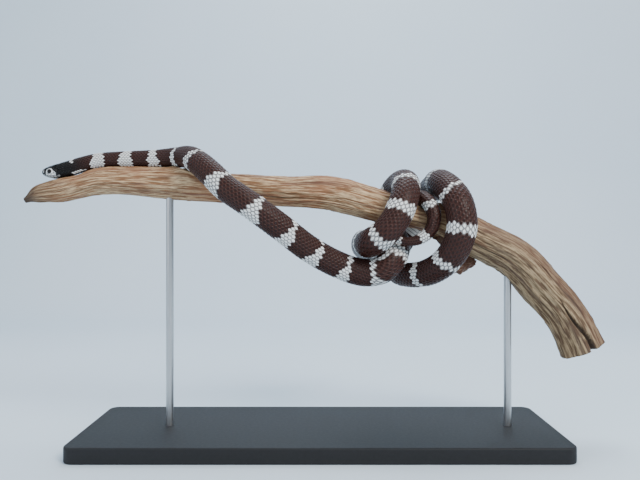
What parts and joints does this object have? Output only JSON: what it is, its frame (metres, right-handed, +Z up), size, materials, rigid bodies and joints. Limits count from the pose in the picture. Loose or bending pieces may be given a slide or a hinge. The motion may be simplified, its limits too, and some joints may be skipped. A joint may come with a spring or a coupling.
{
  "type": "california kingsnake on a driftwood perch",
  "caption": "Life-size still model of a banded kingsnake, its neck along a driftwood perch and its body looped under and coiled round it, on a plain base with rods.",
  "frame": {"origin": "centre of the underside of the stand's base", "axes": "+Z up, -X the way the snake's head points, -Y towards the viewer of the picture"},
  "size_m": [0.4624, 0.1287, 0.2344],
  "materials": {
    "body_scales": "smooth glossy scales, chocolate brown with bone-white bands",
    "head_skin": "smooth glossy plates, near black with white lips",
    "eye": "wet gloss",
    "driftwood": "weathered bare wood with grain ridges",
    "stand_paint": "satin black paint",
    "stand_rod": "brushed"
  },
  "bodies": {
    "root": {"head": "head_skin", "jaw_lower": "head_skin", "eye_left": "eye", "eye_right": "eye", "neck": "body_scales", "body_01": "body_scales", "body_02": "body_scales", "body_03": "body_scales", "body_04": "body_scales", "body_05": "body_scales", "body_06": "body_scales", "body_07": "body_scales", "body_08": "body_scales", "body_09": "body_scales", "body_10": "body_scales", "body_11": "body_scales", "body_12": "body_scales", "body_13": "body_scales", "body_14": "body_scales", "body_15": "body_scales", "body_16": "body_scales", "body_17": "body_scales", "body_18": "body_scales", "tail_base": "body_scales", "tail_tip": "body_scales", "perch_branch": "driftwood", "stand_base": "stand_paint", "stand_rod_left": "stand_rod", "stand_rod_right": "stand_rod"}
  },
  "joints": []
}
